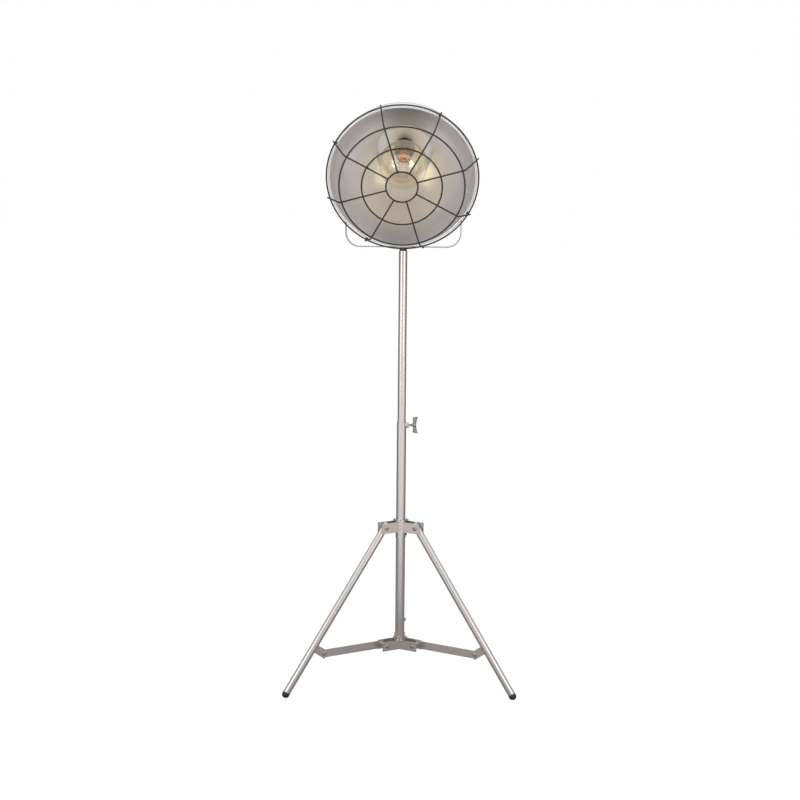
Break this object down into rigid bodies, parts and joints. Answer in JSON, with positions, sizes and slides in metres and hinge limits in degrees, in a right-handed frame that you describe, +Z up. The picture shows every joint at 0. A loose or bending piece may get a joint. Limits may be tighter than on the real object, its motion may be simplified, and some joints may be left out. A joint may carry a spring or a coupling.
{
  "type": "tripod floor lamp",
  "caption": "Floor lamp with a folding tripod, a telescopic column, a swivelling yoke and a tilting dome shade with a wire guard over a globe bulb.",
  "frame": {"origin": "on the floor, on the column's axis, in the middle of the three feet", "axes": "+Z up along the column; the lamp faces -Y, 1.4 degrees toward -X; +X is the side of the wing screw"},
  "size_m": [0.6102, 0.6153, 1.526],
  "materials": {
    "nickel_tube": "brushed raw nickel, satin",
    "nickel_sheet": "brushed raw nickel sheet, satin",
    "fastener_steel": "dark zinc, semi-gloss",
    "foot_rubber": "matte",
    "black_plastic": "matte",
    "black_steel": "black oxide, semi-gloss",
    "guard_black": "black powder coat, satin",
    "shade_metal": "spun sheet, satin",
    "amber_glass": "amber-tinted clear, glossy",
    "bulb_brass": "satin",
    "stem_glass": "copper-tinted stem, glossy"
  },
  "bodies": {
    "column": {"lower_tube": "nickel_tube", "clamp_boss": "nickel_tube", "hub_core": "nickel_tube", "tube_end_plug": "black_plastic", "hub_plate_front": "nickel_sheet", "hub_plate_right": "nickel_sheet", "hub_plate_left": "nickel_sheet", "hub_bolts": "fastener_steel", "hub_nuts": "fastener_steel", "hub_spacers": "nickel_sheet"},
    "tripod_head": {"head_collar": "nickel_tube", "head_plate_front": "nickel_sheet", "head_plate_right": "nickel_sheet", "head_plate_left": "nickel_sheet", "head_bolts": "fastener_steel", "head_nuts": "fastener_steel", "set_screw": "black_steel"},
    "leg_1": {"leg_tube_1": "nickel_tube", "leg_lug_1": "nickel_sheet", "lug_bolt_1": "fastener_steel", "leg_foot_1": "foot_rubber"},
    "leg_2": {"leg_tube_2": "nickel_tube", "leg_lug_2": "nickel_sheet", "lug_bolt_2": "fastener_steel", "leg_foot_2": "foot_rubber"},
    "leg_3": {"leg_tube_3": "nickel_tube", "leg_lug_3": "nickel_sheet", "lug_bolt_3": "fastener_steel", "leg_foot_3": "foot_rubber"},
    "brace_1": {"brace_1": "nickel_sheet", "brace_nut_1": "fastener_steel"},
    "brace_2": {"brace_2": "nickel_sheet", "brace_nut_2": "fastener_steel"},
    "brace_3": {"brace_3": "nickel_sheet", "brace_nut_3": "fastener_steel"},
    "clamp_screw": {"wing_screw": "fastener_steel"},
    "mast": {"mast_tube": "nickel_tube", "mast_glide": "black_plastic", "mast_cap": "black_plastic", "swivel_bolt": "fastener_steel", "swivel_washer": "nickel_sheet"},
    "fork": {"yoke": "nickel_sheet"},
    "lamp_head": {"shade": "shade_metal", "neck_ring": "shade_metal", "neck_cap": "shade_metal", "cable_gland": "black_plastic", "lamp_holder": "black_plastic", "bulb_glass": "amber_glass", "bulb_base": "bulb_brass", "bulb_stem": "stem_glass", "guard_rings": "guard_black", "guard_spokes": "guard_black", "guard_clips": "guard_black", "tilt_studs": "fastener_steel", "tilt_spacers": "nickel_sheet"},
    "right_knob": {"tilt_knob_right": "black_plastic"},
    "left_knob": {"tilt_knob_left": "black_plastic"}
  },
  "joints": [
    {"name": "collar_slide", "type": "slide", "parent": "column", "child": "tripod_head", "axis": [0, 0, 1], "range_m": [0, 0.2227]},
    {"name": "leg_1_fold", "type": "hinge", "parent": "tripod_head", "child": "leg_1", "pos_m": [0.04287, -0.02475, 0.42], "axis": [0.5, 0.866, 0], "range_deg": [0, 28.07]},
    {"name": "leg_2_fold", "type": "hinge", "parent": "tripod_head", "child": "leg_2", "pos_m": [0, 0.0495, 0.42], "axis": [-1, 0, 0], "range_deg": [0, 28.07]},
    {"name": "leg_3_fold", "type": "hinge", "parent": "tripod_head", "child": "leg_3", "pos_m": [-0.04287, -0.02475, 0.42], "axis": [0.5, -0.866, 0], "range_deg": [0, 28.07]},
    {"name": "brace_1_fold", "type": "hinge", "parent": "column", "child": "brace_1", "pos_m": [0.03984, -0.023, 0.097], "axis": [-0.5, -0.866, 0], "range_deg": [0, 88.05]},
    {"name": "brace_2_fold", "type": "hinge", "parent": "column", "child": "brace_2", "pos_m": [0, 0.046, 0.097], "axis": [1, 0, 0], "range_deg": [0, 88.05]},
    {"name": "brace_3_fold", "type": "hinge", "parent": "column", "child": "brace_3", "pos_m": [-0.03984, -0.023, 0.097], "axis": [-0.5, 0.866, 0], "range_deg": [0, 88.05]},
    {"name": "clamp_turn", "type": "hinge", "parent": "column", "child": "clamp_screw", "pos_m": [0.03, 0, 0.694], "axis": [1, 0, 0], "range_deg": [0, 720]},
    {"name": "mast_slide", "type": "slide", "parent": "column", "child": "mast", "axis": [0, 0, 1], "range_m": [-0.39, 0.06]},
    {"name": "head_pan", "type": "hinge", "parent": "mast", "child": "fork", "pos_m": [0, 0, 1.163], "axis": [0, 0, 1], "range_deg": [-175, 175]},
    {"name": "head_tilt", "type": "hinge", "parent": "fork", "child": "lamp_head", "pos_m": [0, 0, 1.4], "axis": [0.9997, -0.0244, 0], "range_deg": [-112, 10]},
    {"name": "right_knob_turn", "type": "hinge", "parent": "lamp_head", "child": "right_knob", "pos_m": [0.15995, -0.00391, 1.4], "axis": [0.9997, -0.0244, 0], "range_deg": [0, 720]},
    {"name": "left_knob_turn", "type": "hinge", "parent": "lamp_head", "child": "left_knob", "pos_m": [-0.15995, 0.00391, 1.4], "axis": [-0.9997, 0.0244, 0], "range_deg": [0, 720]}
  ],
  "couplings": [
    {"joint": "leg_1_fold", "follows": "collar_slide", "rad_per_m": 2.1962},
    {"joint": "leg_2_fold", "follows": "collar_slide", "rad_per_m": 2.1962},
    {"joint": "leg_3_fold", "follows": "collar_slide", "rad_per_m": 2.1962},
    {"joint": "brace_1_fold", "follows": "collar_slide", "rad_per_m": 6.8967},
    {"joint": "brace_2_fold", "follows": "collar_slide", "rad_per_m": 6.8967},
    {"joint": "brace_3_fold", "follows": "collar_slide", "rad_per_m": 6.8967}
  ]
}
